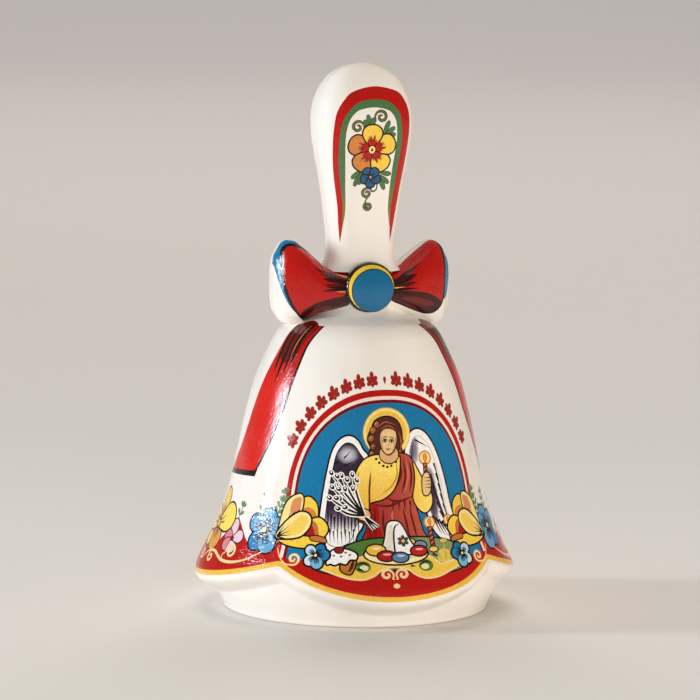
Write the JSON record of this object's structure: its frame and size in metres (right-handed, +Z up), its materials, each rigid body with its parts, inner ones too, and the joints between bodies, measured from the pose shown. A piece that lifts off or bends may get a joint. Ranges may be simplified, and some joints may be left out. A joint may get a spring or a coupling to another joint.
{
  "type": "hand bell",
  "caption": "Skirt-shaped glazed porcelain table bell with a scalloped hem, a flattened hollow handle, a moulded bow and a swinging clapper.",
  "frame": {"origin": "centre of the foot ring's flat underside", "axes": "+Z up along the bell's axis to the handle, -Y to the front, where the bow's knot is, +X to the right seen from above with the front towards the viewer"},
  "size_m": [0.0616, 0.0612, 0.105],
  "materials": {
    "white_porcelain": "glossy glaze",
    "blue_glaze": "glossy glaze",
    "cork": "raw",
    "steel_wire": "drawn wire"
  },
  "bodies": {
    "bell": {"bell_body": "white_porcelain", "handle": "white_porcelain", "bow": "white_porcelain", "bow_knot": "blue_glaze", "hanger_plug": "cork", "pin_washer": "steel_wire"},
    "hanger": {"eye_pin": "steel_wire"},
    "clapper": {"clapper_wire": "steel_wire", "clapper_ball": "white_porcelain", "ball_stop": "steel_wire"}
  },
  "joints": [
    {"name": "hanger_swivel", "type": "hinge", "parent": "bell", "child": "hanger", "pos_m": [0, 0, 0.058], "axis": [0, 0, 1], "continuous": true},
    {"name": "clapper_swing", "type": "hinge", "parent": "hanger", "child": "clapper", "pos_m": [0, 0, 0.0478], "axis": [1, 0, 0], "range_deg": [-29, 29]}
  ]
}
